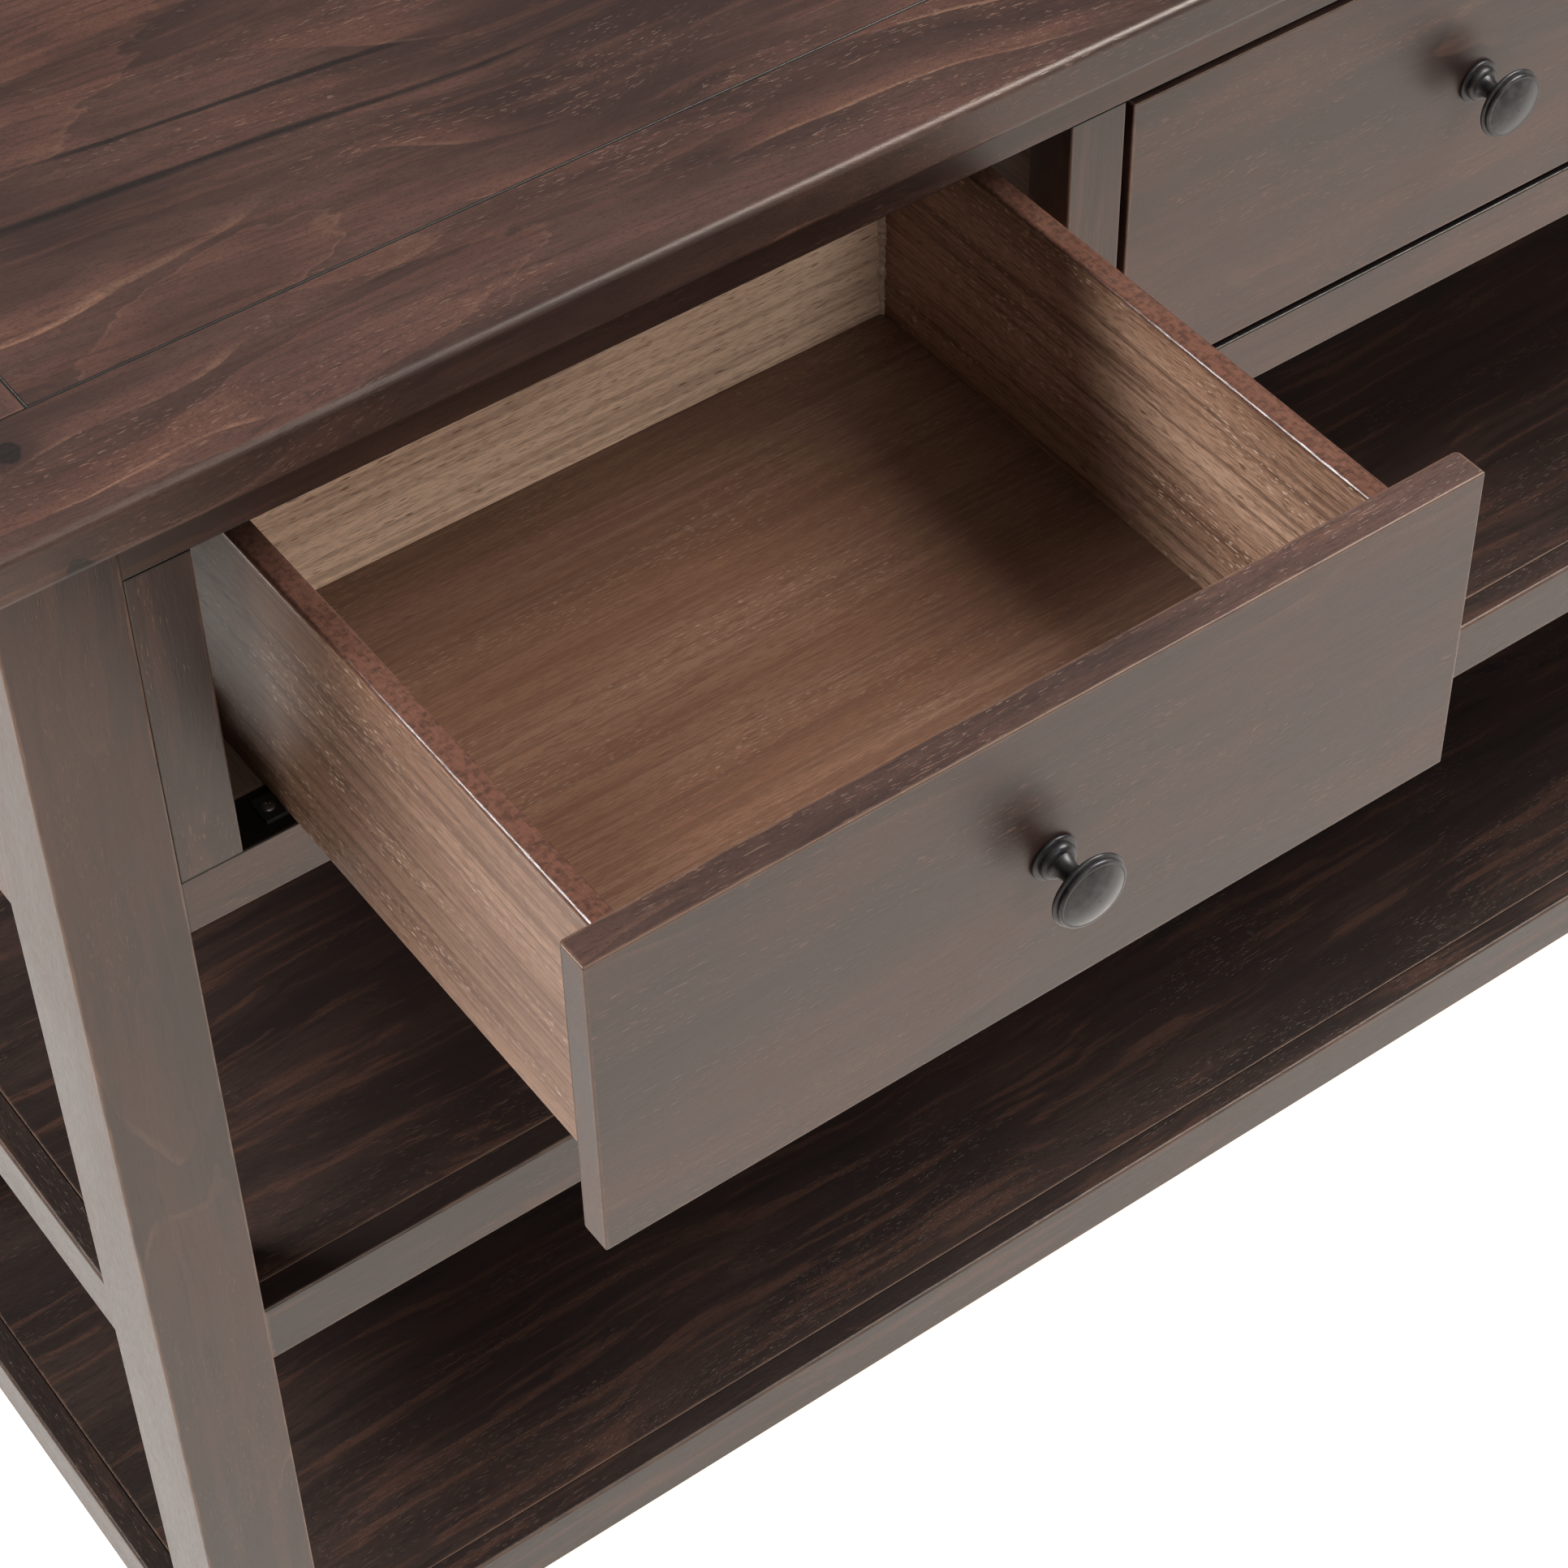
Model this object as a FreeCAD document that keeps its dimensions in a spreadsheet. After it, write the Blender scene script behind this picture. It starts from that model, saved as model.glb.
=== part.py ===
import FreeCAD, Part
import math
import os
import re

# Kitchen island: three inset drawers under a board worktop, and two open shelves between four square legs.
# Millimetres. The origin is on the floor under the middle of the worktop. X runs along the front to the
# right, Y runs to the back and Z is up, so the front faces -Y. The left drawer rests pulled open.

doc = FreeCAD.newDocument("KitchenIsland")

# ---------------------------------------------------------------- sizes
sizes = doc.addObject("Spreadsheet::Sheet", "Sizes")
driving_sizes = {
    # case, over the legs, and the legs
    "case_wide": 1393.5,
    "case_deep": 420,
    "worktop_height": 914,
    "leg_side": 50,
    "glide_thick": 4,
    "glide_radius": 11,
    # worktop
    "worktop_thick": 22,
    "worktop_overhang": 17,
    "border_wide": 63,
    "worktop_round": 3.5,
    # face frame
    "face_setback": 1,
    "frame_thick": 25,
    "rail_tall": 29,
    "stile_wide": 27.5,
    "opening_tall": 157.5,
    # aprons, divider and glue blocks
    "apron_thick": 15,
    "divider_thick": 16,
    "glue_block_side": 20,
    "glue_block_tall": 110,
    "glue_block_drop": 40,
    # drawers
    "gap_beside_front": 4,
    "gap_over_front": 3.75,
    "front_thick": 15,
    "front_round": 2.5,
    "front_arris": 0.8,
    "box_inset": 19,
    "box_drop": 16,
    "box_long": 312,
    "side_thick": 11,
    "side_round": 2.2,
    "bottom_thick": 4,
    "bottom_raise": 23,
    "groove_deep": 5,
    "groove_slack": 0.3,
    "open_travel": 239,
    # what the drawers run on
    "tack_thick": 2.2,
    "tack_wide": 18,
    "tack_deep": 13,
    "tack_outside": 9,
    "tack_setback": 6,
    "running_gap": 0.5,
    "runner_wide": 36,
    "runner_thick": 20,
    "guide_gap": 1,
    "guide_wide": 12,
    "guide_tall": 16,
    "guide_start": 30,
    "stop_wide": 12,
    "stop_deep": 20,
    "stop_gap": 0.5,
    "kicker_wide": 40,
    "kicker_gap": 2.5,
    # screws
    "screw_shank": 1.5,
    "screw_head": 2.8,
    "screw_head_tall": 0.8,
    "screw_long": 22,
    "hole_slack": 0.3,
    "bolt_shank": 2,
    "bolt_head": 4.5,
    "bolt_head_tall": 2.5,
    "bolt_long": 29,
    # knobs
    "rose_radius": 10,
    "neck_radius": 4,
    "cap_radius": 16,
    "knob_proud": 26,
    # shelves
    "middle_shelf_top": 429.5,
    "bottom_shelf_top": 143,
    "shelf_rail_tall": 35,
    "shelf_rail_thick": 14,
    "shelf_ledge": 9,
    "side_setback": 2,
    "shelf_thick": 15,
    "shelf_gap": 0.5,
    "shelf_sink": 0.4,
    # eased edges
    "shelf_arris": 1.8,
    "arris": 1,
    "joint_arris": 0.5,
}
for row, (alias, number) in enumerate(driving_sizes.items(), start=1):
    sizes.set(f"A{row}", alias.replace("_", " "))
    sizes.set(f"B{row}", str(number))
    sizes.setAlias(f"B{row}", alias)
doc.recompute()

# Sizes that follow from the driving ones, as formulas of them.
derived_sizes = {
    "worktop_wide": "case_wide + 2 * worktop_overhang",
    "worktop_deep": "case_deep + 2 * worktop_overhang",
    "worktop_under": "worktop_height - worktop_thick",
    "between_legs": "case_wide - 2 * leg_side",
    "between_side_legs": "case_deep - 2 * leg_side",
    "frame_front": "face_setback - case_deep / 2",
    "frame_back": "frame_front + frame_thick",
    "back_inside": "case_deep / 2 - face_setback - apron_thick",
    "opening_wide": "(between_legs - 4 * stile_wide) / 3",
    "opening_top": "worktop_under - rail_tall",
    "opening_bottom": "opening_top - opening_tall",
    "case_bottom": "opening_bottom - rail_tall",
    "case_tall": "worktop_under - case_bottom",
    "bay_pitch": "opening_wide + stile_wide",
    "front_wide": "opening_wide - 2 * gap_beside_front",
    "front_tall": "opening_tall - 2 * gap_over_front",
    "front_bottom": "opening_bottom + gap_over_front",
    "front_back": "frame_front + front_thick",
    "box_wide": "front_wide - 2 * box_inset",
    "box_bottom": "opening_bottom + tack_thick + running_gap",
    "box_top": "front_bottom + front_tall - box_drop",
    "panel_bottom": "box_bottom + bottom_raise",
    "groove_tall": "bottom_thick + groove_slack",
    "box_end": "front_back + box_long",
    "runner_long": "back_inside - frame_back",
    "runner_top": "opening_bottom + tack_thick",
    "guide_long": "runner_long - guide_start",
    "shelf_board_wide": "case_wide - 2 * (side_setback + shelf_rail_thick + shelf_gap)",
    "shelf_board_deep": "case_deep - 2 * (face_setback + shelf_rail_thick + shelf_gap)",
    "notch_wide": "leg_side - side_setback - shelf_rail_thick",
    "notch_deep": "leg_side - face_setback - shelf_rail_thick",
    "ledge_tall": "shelf_rail_tall - shelf_thick - shelf_sink",
    "screw_hole": "screw_shank + hole_slack",
    "bolt_hole": "bolt_shank + hole_slack",
}


def formula(text):
    """Turns a formula in plain names into an expression on the sheet's cells."""
    def swap(found):
        name = found.group(0)
        if name in derived_sizes:
            return "(" + formula(derived_sizes[name]) + ")"
        return "Sizes." + name
    return re.sub(r"[a-z][a-z_]+", swap, text)


def bind(thing, **cells):
    """Binds properties to formulas; at_x, at_y and at_z are the Placement's own."""
    for name, text in cells.items():
        path = "Placement.Base." + name[-1] if name.startswith("at_") else name
        thing.setExpression(path, formula(text))


sub_parts = []
hands = {"left": -1, "right": 1}
bays = {"left": -1, "centre": 0, "right": 1}


def new_body(node, x="0", y="0", z="0"):
    """A body whose own origin stands at x, y, z."""
    body = doc.addObject("PartDesign::Body", node)
    body.Label = node
    bind(body, at_x=x, at_y=y, at_z=z)
    sub_parts.append(body)
    return body


def block(body, long, deep, tall, x="0", y="0", z="0", cut=False):
    """A box added to the body, or cut from it."""
    kind = "Subtractive" if cut else "Additive"
    feature = body.newObject(f"PartDesign::{kind}Box", f"{body.Label}_{kind}")
    bind(feature, Length=long, Width=deep, Height=tall, at_x=x, at_y=y, at_z=z)
    doc.recompute()
    return feature


def bore(body, radius, long, x, y, z, along_y=False):
    """A round hole upwards from x, y, z, or one that runs towards the back."""
    feature = body.newObject("PartDesign::SubtractiveCylinder", f"{body.Label}_bore")
    turn = -90 if along_y else 0
    feature.Placement.Rotation = FreeCAD.Rotation(FreeCAD.Vector(1, 0, 0), turn)
    bind(feature, Radius=radius, Height=long, at_x=x, at_y=y, at_z=z)
    doc.recompute()
    return feature


def near(first, second):
    return abs(first - second) < 0.01


def round_edges(body, radius, *edges):
    """Rounds the straight edges named by the two faces that meet there, such as "top front"."""
    base = body.Tip
    shape = base.Shape
    faces = {}
    for axis, low, high in (("x", "left", "right"), ("y", "front", "back"), ("z", "bottom", "top")):
        places = [getattr(corner.Point, axis) for corner in shape.Vertexes]
        faces[low] = (axis, min(places))
        faces[high] = (axis, max(places))
    names = []
    for number, edge in enumerate(shape.Edges, start=1):
        ends = [corner.Point for corner in edge.Vertexes]
        if len(ends) < 2 or not near(ends[0].distanceToPoint(ends[1]), edge.Length):
            continue
        middle = (ends[0] + ends[1]) * 0.5
        sides = [[faces[word] for word in pair.split()] for pair in edges]
        if any(all(near(getattr(middle, axis), place) for axis, place in pair) for pair in sides):
            names.append(f"Edge{number}")
    fillet = body.newObject("PartDesign::Fillet", f"{body.Label}_eased")
    fillet.Base = (base, names)
    bind(fillet, Radius=radius)
    doc.recompute()
    return fillet


upright_edges = ("front left", "front right", "back left", "back right")
top_edges = ("top front", "top back", "top left", "top right")
bottom_edges = ("bottom front", "bottom back", "bottom left", "bottom right")


def board(node, x, y, z, long, deep, tall):
    """A plain board with its lowest corner at x, y, z."""
    body = new_body(node, x, y, z)
    block(body, long, deep, tall)
    return body


def group(node, pieces):
    """Several identical loose pieces that share one sub-part."""
    sub_parts[:] = [part for part in sub_parts if part not in pieces]
    whole = doc.addObject("Part::Compound", node)
    whole.Label = node
    whole.Links = pieces
    sub_parts.append(whole)


def on_hand(hand, start, long):
    """Where a board starts on the given hand, from its start on the left."""
    return start if hand == "left" else f"-({start}) - ({long})"


def on_side(side, start, deep):
    """Where a board starts at the front or the back, from its start at the front."""
    return start if side == "front" else f"-({start}) - ({deep})"


# ---------------------------------------------------------------- worktop
# The front and back boards run the full length, the end boards stand between them, and one wide
# glued-up field fills the middle. The outer arrises are rounded over and each joint has a fine V.
for side, inner in (("front", "back"), ("back", "front")):
    border = board(
        f"top_{side}_board",
        "-worktop_wide / 2", on_side(side, "-worktop_deep / 2", "border_wide"), "worktop_under",
        "worktop_wide", "border_wide", "worktop_thick")
    outer = [f"top {side}", f"bottom {side}", f"{side} left", f"{side} right"]
    ends = ["top left", "top right", "bottom left", "bottom right"]
    round_edges(border, "worktop_round", *outer, *ends)
    round_edges(border, "joint_arris", f"top {inner}")

for hand, inner in (("left", "right"), ("right", "left")):
    border = board(
        f"top_{hand}_end_board",
        on_hand(hand, "-worktop_wide / 2", "border_wide"), "border_wide - worktop_deep / 2",
        "worktop_under",
        "border_wide", "worktop_deep - 2 * border_wide", "worktop_thick")
    round_edges(border, "worktop_round", f"top {hand}", f"bottom {hand}")
    round_edges(border, "joint_arris", f"top {inner}")

field = board(
    "top_field_panel",
    "border_wide - worktop_wide / 2", "border_wide - worktop_deep / 2", "worktop_under",
    "worktop_wide - 2 * border_wide", "worktop_deep - 2 * border_wide", "worktop_thick")
round_edges(field, "joint_arris", *top_edges)

# ---------------------------------------------------------------- legs and glides
for side in ("front", "back"):
    for hand in hands:
        leg = board(
            f"{side}_{hand}_leg",
            on_hand(hand, "-case_wide / 2", "leg_side"), on_side(side, "-case_deep / 2", "leg_side"),
            "glide_thick",
            "leg_side", "leg_side", "worktop_under - glide_thick")
        round_edges(leg, "arris", *upright_edges, *bottom_edges)

# The glides are four identical nailed discs, so they share one sub-part.
glides = []
for side in (-1, 1):
    for hand in hands.values():
        disc = doc.addObject("Part::Cylinder", "glide")
        bind(
            disc, Radius="glide_radius", Height="glide_thick",
            at_x=f"{hand} * (case_wide - leg_side) / 2", at_y=f"{side} * (case_deep - leg_side) / 2")
        glides.append(disc)
group("foot_glides", glides)

# ---------------------------------------------------------------- face frame
# The rails run between the legs and the stiles stand between the rails.
front_rails = {}
for name, bottom in (("top", "opening_top"), ("bay", "case_bottom")):
    front_rails[name] = board(
        f"front_{name}_rail", "-between_legs / 2", "frame_front", bottom,
        "between_legs", "frame_thick", "rail_tall")
    round_edges(front_rails[name], "arris", "top front", "bottom front")

stile_starts = {
    "left": "-between_legs / 2",
    "left_middle": "-bay_pitch / 2 - stile_wide / 2",
    "right_middle": "bay_pitch / 2 - stile_wide / 2",
    "right": "between_legs / 2 - stile_wide",
}
for name, start in stile_starts.items():
    stile = board(
        f"{name}_stile", start, "frame_front", "opening_bottom",
        "stile_wide", "frame_thick", "opening_tall")
    round_edges(stile, "arris", "front left", "front right")

# ---------------------------------------------------------------- aprons, dividers, glue blocks
for hand in hands:
    apron = board(
        f"{hand}_apron",
        on_hand(hand, "side_setback - case_wide / 2", "apron_thick"), "-between_side_legs / 2",
        "case_bottom",
        "apron_thick", "between_side_legs", "case_tall")
    round_edges(apron, "arris", f"bottom {hand}")

back_apron = board(
    "back_apron", "-between_legs / 2", "back_inside", "case_bottom",
    "between_legs", "apron_thick", "case_tall")
round_edges(back_apron, "arris", "bottom back")

for hand, sign in hands.items():
    board(
        f"{hand}_divider", f"{sign} * bay_pitch / 2 - divider_thick / 2", "frame_back", "case_bottom",
        "divider_thick", "runner_long", "case_tall")

# A square block is glued into each corner of the case, behind the outer stiles and inside the back apron.
glue_blocks = []
for start_y in ("frame_back", "back_inside - glue_block_side"):
    for hand in hands:
        glue_block = doc.addObject("Part::Box", "glue_block")
        bind(
            glue_block, Length="glue_block_side", Width="glue_block_side", Height="glue_block_tall",
            at_x=on_hand(hand, "-between_legs / 2", "glue_block_side"), at_y=start_y,
            at_z="worktop_under - glue_block_drop - glue_block_tall")
        glue_blocks.append(glue_block)
group("glue_blocks", glue_blocks)

# ---------------------------------------------------------------- what the drawers run on
# Behind the face frame a runner lies under each drawer side, level with the thin glide on the bay rail.
# A guide on the runner keeps the drawer straight, and a block behind the drawer stops it flush. A kicker
# under the worktop keeps the open drawer from tipping. Each screw stands upright in its own hole.
# Pieces that are alike in all the bays share one sub-part.
def add_screw(node_screws, x, y, head_under):
    """A small pan-head screw with the underside of its head at the given height."""
    shank = doc.addObject("Part::Cylinder", "screw_shank")
    bind(shank, Radius="screw_shank", Height="screw_long", at_z="-screw_long")
    head = doc.addObject("Part::Cylinder", "screw_head")
    bind(head, Radius="screw_head", Height="screw_head_tall")
    whole = doc.addObject("Part::Fuse", "screw")
    whole.Base = shank
    whole.Tool = head
    bind(whole, at_x=x, at_y=y, at_z=head_under)
    node_screws.append(whole)


screw_shares = (0.1, 0.6)
guides = []
guide_screws = []
kickers = []
stops = []
tacks = []
tack_screws = []
tack_screw_y = "frame_front + tack_setback + tack_deep / 2"
for bay, number in bays.items():
    centre = f"{number} * bay_pitch"
    runners = []
    for hand, sign in hands.items():
        runner_x = on_hand(hand, "-opening_wide / 2", "runner_wide")
        runner = board(
            f"{bay}_bay_{hand}_runner",
            f"{centre} + {runner_x}", "frame_back", "runner_top - runner_thick",
            "runner_wide", "runner_long", "runner_thick")
        runners.append(runner)
        guide_x = on_hand(hand, "-box_wide / 2 - guide_gap - guide_wide", "guide_wide")
        guide = board(
            f"{bay}_bay_{hand}_guide",
            f"{centre} + {guide_x}", "frame_back + guide_start", "runner_top",
            "guide_wide", "guide_long", "guide_tall")
        guides.append(guide)
        for share in screw_shares:
            along = f"guide_start + {share} * guide_long"
            across = f"{guide_x} + guide_wide / 2"
            bore(guide, "screw_hole", "guide_tall", "guide_wide / 2", f"{share} * guide_long", "0")
            bore(runner, "screw_hole", "runner_thick", f"{across} - ({runner_x})", along, "0")
            add_screw(
                guide_screws, f"{centre} + {across}", f"frame_back + {along}", "runner_top + guide_tall")

        stop = doc.addObject("Part::Box", "stop_block")
        bind(
            stop, Length="stop_wide", Width="stop_deep", Height="guide_tall",
            at_x=f"{centre} + " + on_hand(hand, "-box_wide / 2", "stop_wide"),
            at_y="box_end + stop_gap", at_z="runner_top")
        stops.append(stop)

        # The glide reaches out past the drawer side, where its one screw is.
        tack_x = on_hand(hand, "-box_wide / 2 - tack_outside", "tack_wide")
        tack_screw_x = f"{centre} + {sign} * (box_wide / 2 + tack_outside / 2)"
        tack = doc.addObject("Part::Box", "tack_plate")
        bind(
            tack, Length="tack_wide", Width="tack_deep", Height="tack_thick",
            at_x=f"{centre} + {tack_x}", at_y="frame_front + tack_setback", at_z="opening_bottom")
        hole = doc.addObject("Part::Cylinder", "tack_hole")
        bind(
            hole, Radius="screw_hole", Height="tack_thick",
            at_x=tack_screw_x, at_y=tack_screw_y, at_z="opening_bottom")
        drilled = doc.addObject("Part::Cut", "drilled_tack")
        drilled.Base = tack
        drilled.Tool = hole
        tacks.append(drilled)
        add_screw(tack_screws, tack_screw_x, tack_screw_y, "runner_top")
        bore(
            front_rails["bay"], "screw_hole", "screw_long", f"between_legs / 2 + {tack_screw_x}",
            "tack_setback + tack_deep / 2", "rail_tall - screw_long")
    group(f"{bay}_bay_runners", runners)
    kicker = board(
        f"{bay}_bay_kicker", f"{centre} - kicker_wide / 2", "frame_back", "box_top + kicker_gap",
        "kicker_wide", "runner_long", "worktop_under - box_top - kicker_gap")
    kickers.append(kicker)
group("drawer_guides", guides)
group("drawer_kickers", kickers)
group("drawer_stops", stops)
group("drawer_glides", tacks)
group("guide_screws", guide_screws)
group("glide_screws", tack_screws)


# ---------------------------------------------------------------- drawers
# The slab front laps past the box at both ends. Its edges are only just eased, but the uprights behind are
# rounded. Sides, back and front are grooved for a thin bottom that
# stands well above the lower edge of the sides. A screw through the front holds the cast knob.
def knob_outline(sketch):
    """Half the knob's section: rose, button, neck, flared cap with two beads, and a shallow dome."""
    rose, neck = driving_sizes["rose_radius"], driving_sizes["neck_radius"]
    cap, proud = driving_sizes["cap_radius"], driving_sizes["knob_proud"]
    hole = driving_sizes["bolt_shank"] + driving_sizes["hole_slack"]
    dome_rim = cap - 2.6
    dome_start = proud - 3
    dome_radius = (dome_rim ** 2 + (proud - dome_start) ** 2) / (2 * (proud - dome_start))
    half_turn = math.asin(dome_rim / dome_radius) / 2
    dome_middle = (
        dome_radius * math.sin(half_turn), proud - dome_radius + dome_radius * math.cos(half_turn))
    runs = [
        [(hole, 0), (rose - 0.6, 0)],
        [(rose - 0.6, 0), (rose, 0.9), (rose - 0.7, 1.9)],
        [(rose - 0.7, 1.9), (rose - 2.2, 2.1)],
        [(rose - 2.2, 2.1), (rose - 2.55, 4.3), (rose - 4.6, 5.3)],
        [(rose - 4.6, 5.3), (neck + 0.2, 8), (neck, 11)],
        [(neck, 11), (neck + 1.6, 14.6), (cap - 6.5, 17.3)],
        [(cap - 6.5, 17.3), (cap - 0.7, 18.9)],
        [(cap - 0.7, 18.9), (cap, 19.7), (cap - 0.6, 20.6)],
        [(cap - 0.6, 20.6), (cap - 1.3, 20.9)],
        [(cap - 1.3, 20.9), (cap - 1.05, 22.1), (dome_rim, dome_start)],
        [(dome_rim, dome_start), dome_middle, (0, proud)],
        [(0, proud), (0, proud - 6)],
        [(0, proud - 6), (hole, proud - 6)],
        [(hole, proud - 6), (hole, 0)],
    ]
    for run in runs:
        points = [FreeCAD.Vector(*point) for point in run]
        curve = Part.Arc(*points) if len(points) == 3 else Part.LineSegment(*points)
        sketch.addGeometry(curve, False)


def origin_plane(body, role):
    return next(feature for feature in body.Origin.OriginFeatures if feature.Role == role)


for bay, number in bays.items():
    centre = f"{number} * bay_pitch"
    pulled = "open_travel" if bay == "left" else "0"
    front_y = f"frame_front - {pulled}"
    box_y = f"front_back - {pulled}"

    front = board(
        f"{bay}_drawer_front", f"{centre} - front_wide / 2", front_y, "front_bottom",
        "front_wide", "front_thick", "front_tall")
    round_edges(front, "front_round", "back left", "back right")
    round_edges(front, "front_arris", "front left", "front right", *top_edges, *bottom_edges)
    block(
        front, "box_wide - 2 * side_thick + 2 * groove_deep", "groove_deep", "groove_tall",
        x="box_inset + side_thick - groove_deep", y="front_thick - groove_deep",
        z="panel_bottom - front_bottom", cut=True)
    bore(front, "bolt_hole", "front_thick", "front_wide / 2", "0", "front_tall / 2", along_y=True)

    for name in hands:
        start = on_hand(name, "-box_wide / 2", "side_thick")
        side = board(
            f"{bay}_drawer_{name}_side", f"{centre} + {start}", box_y, "box_bottom",
            "side_thick", "box_long", "box_top - box_bottom")
        round_edges(side, "side_round", "top left", "top right")
        block(
            side, "groove_deep", "box_long", "groove_tall",
            x="side_thick - groove_deep" if name == "left" else "0", z="bottom_raise", cut=True)

    back = board(
        f"{bay}_drawer_back", f"{centre} - box_wide / 2 + side_thick",
        f"box_end - side_thick - {pulled}", "box_bottom",
        "box_wide - 2 * side_thick", "side_thick", "box_top - box_bottom")
    round_edges(back, "side_round", "top front", "top back")
    block(
        back, "box_wide - 2 * side_thick", "groove_deep", "groove_tall", z="bottom_raise", cut=True)

    board(
        f"{bay}_drawer_bottom", f"{centre} - box_wide / 2 + side_thick - groove_deep + groove_slack",
        f"{box_y} - groove_deep + groove_slack", "panel_bottom",
        "box_wide - 2 * (side_thick - groove_deep + groove_slack)",
        "box_long - side_thick + 2 * (groove_deep - groove_slack)", "bottom_thick")

    knob = new_body(f"{bay}_drawer_knob", centre, front_y, "front_bottom + front_tall / 2")
    knob.Placement.Rotation = FreeCAD.Rotation(FreeCAD.Vector(1, 0, 0), 90)
    outline = knob.newObject("Sketcher::SketchObject", f"{bay}_knob_outline")
    outline.AttachmentSupport = [(origin_plane(knob, "XZ_Plane"), "")]
    outline.MapMode = "FlatFace"
    knob_outline(outline)
    doc.recompute()
    turned = knob.newObject("PartDesign::Revolution", f"{bay}_knob_turned")
    turned.Profile = outline
    turned.ReferenceAxis = (outline, ["V_Axis"])
    turned.Angle = 360

    shank = doc.addObject("Part::Cylinder", "bolt_shank")
    bind(shank, Radius="bolt_shank", Height="bolt_long", at_z="0")
    head = doc.addObject("Part::Cylinder", "bolt_head")
    bind(head, Radius="bolt_head", Height="bolt_head_tall", at_z="-bolt_head_tall")
    bolt = doc.addObject("Part::Fuse", f"{bay}_drawer_knob_screw")
    bolt.Label = f"{bay}_drawer_knob_screw"
    bolt.Base = shank
    bolt.Tool = head
    bolt.Placement.Rotation = FreeCAD.Rotation(FreeCAD.Vector(1, 0, 0), 90)
    bind(bolt, at_x=centre, at_y=box_y, at_z="front_bottom + front_tall / 2")
    sub_parts.append(bolt)
    doc.recompute()

# ---------------------------------------------------------------- shelves
# Four rabbeted rails run between the legs. The shelf drops in behind them, notched round the legs, and
# rests on the rails' ledges, which leaves a fine dark line inside the rails.
for name in ("middle", "bottom"):
    shelf_top = f"{name}_shelf_top"
    rail_bottom = f"{shelf_top} - shelf_rail_tall"
    for side, inner in (("front", "back"), ("back", "front")):
        rail = board(
            f"{name}_shelf_{side}_rail", "-between_legs / 2",
            on_side(side, "frame_front", "shelf_rail_thick"), rail_bottom,
            "between_legs", "shelf_rail_thick", "shelf_rail_tall")
        round_edges(rail, "shelf_arris", f"top {side}")
        round_edges(rail, "joint_arris", f"top {inner}", f"bottom {side}")
        block(
            rail, "between_legs", "shelf_ledge", "ledge_tall",
            y="shelf_rail_thick" if side == "front" else "-shelf_ledge")
    end_rails = []
    for hand, inner in (("left", "right"), ("right", "left")):
        rail = board(
            f"{name}_shelf_{hand}_rail",
            on_hand(hand, "side_setback - case_wide / 2", "shelf_rail_thick"),
            "-between_side_legs / 2", rail_bottom,
            "shelf_rail_thick", "between_side_legs", "shelf_rail_tall")
        round_edges(rail, "shelf_arris", f"top {hand}")
        round_edges(rail, "joint_arris", f"top {inner}", f"bottom {hand}")
        block(
            rail, "shelf_ledge", "between_side_legs", "ledge_tall",
            x="shelf_rail_thick" if hand == "left" else "-shelf_ledge")
        end_rails.append(rail)
    group(f"{name}_shelf_end_rails", end_rails)
    panel = board(
        f"{name}_shelf_panel", "-shelf_board_wide / 2", "-shelf_board_deep / 2",
        f"{shelf_top} - shelf_sink - shelf_thick",
        "shelf_board_wide", "shelf_board_deep", "shelf_thick")
    for corner_x in ("0", "shelf_board_wide - notch_wide"):
        for corner_y in ("0", "shelf_board_deep - notch_deep"):
            block(panel, "notch_wide", "notch_deep", "shelf_thick", x=corner_x, y=corner_y, cut=True)
    round_edges(panel, "joint_arris", *top_edges)

# ---------------------------------------------------------------- check and write
doc.recompute()
broken = [thing.Label for thing in doc.Objects if {"Invalid", "Error"} & set(thing.State)]
broken += [piece.Label for piece in sub_parts if piece.Shape.isNull() or not piece.Shape.isValid()]
if broken:
    raise RuntimeError("not built: " + ", ".join(broken))
os.makedirs("parts", exist_ok=True)
for piece in sub_parts:
    piece.Shape.exportStep(f"parts/{piece.Label}.step")
print(len(sub_parts), "sub-parts written")
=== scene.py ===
import math
import random

import bmesh
import bpy
from mathutils import Matrix, Vector


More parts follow.
